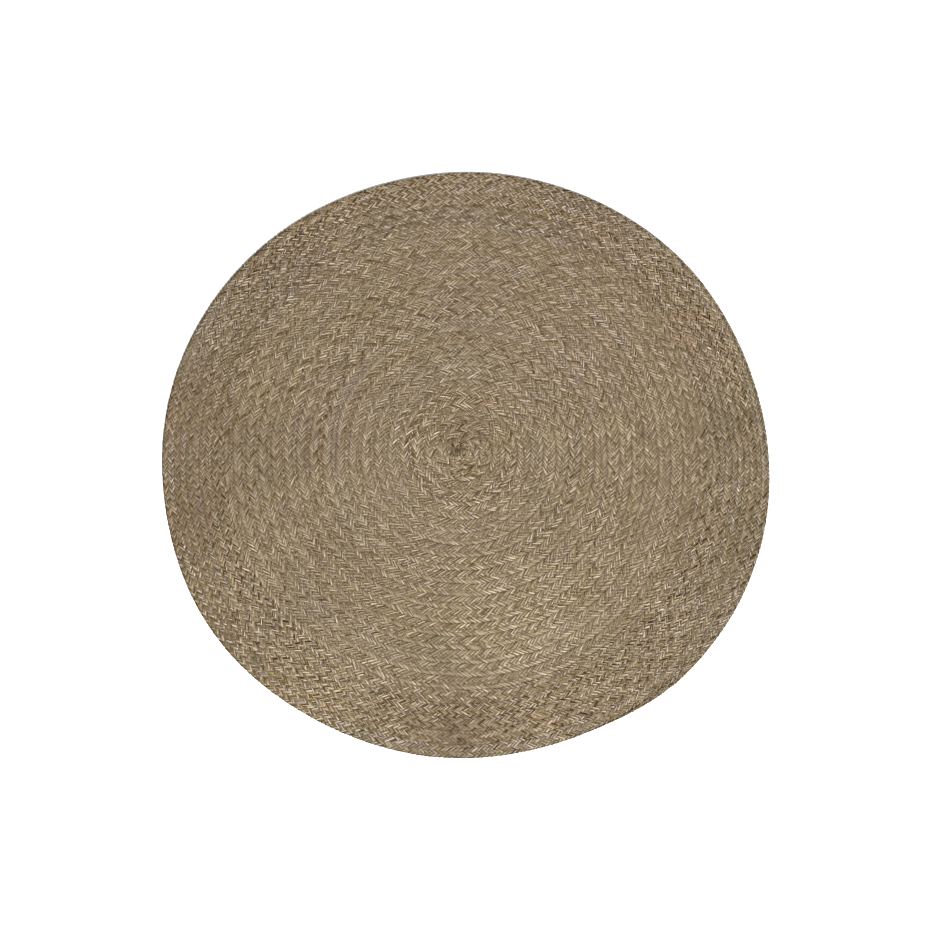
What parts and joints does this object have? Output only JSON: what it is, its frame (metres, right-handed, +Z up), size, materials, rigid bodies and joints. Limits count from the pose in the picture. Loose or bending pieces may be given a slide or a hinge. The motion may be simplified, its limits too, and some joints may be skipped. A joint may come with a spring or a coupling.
{
  "type": "round plaited rush rug",
  "caption": "Round floor rug: one flat plaited band of natural rush, coiled from the middle and sewn edge to edge, with a slightly uneven rim.",
  "frame": {"origin": "middle of the coil, on the flat underside", "axes": "+Z up through the thickness; the band's end tapers into the rim at 292 degrees counter-clockwise from +X, and the band winds outwards clockwise seen from above"},
  "size_m": [1.499, 1.4998, 0.008],
  "materials": {
    "rush_plait": "matt natural rush, khaki to straw, with faint sheen on the stems"
  },
  "bodies": {
    "root": {"rug": "rush_plait"}
  },
  "joints": []
}
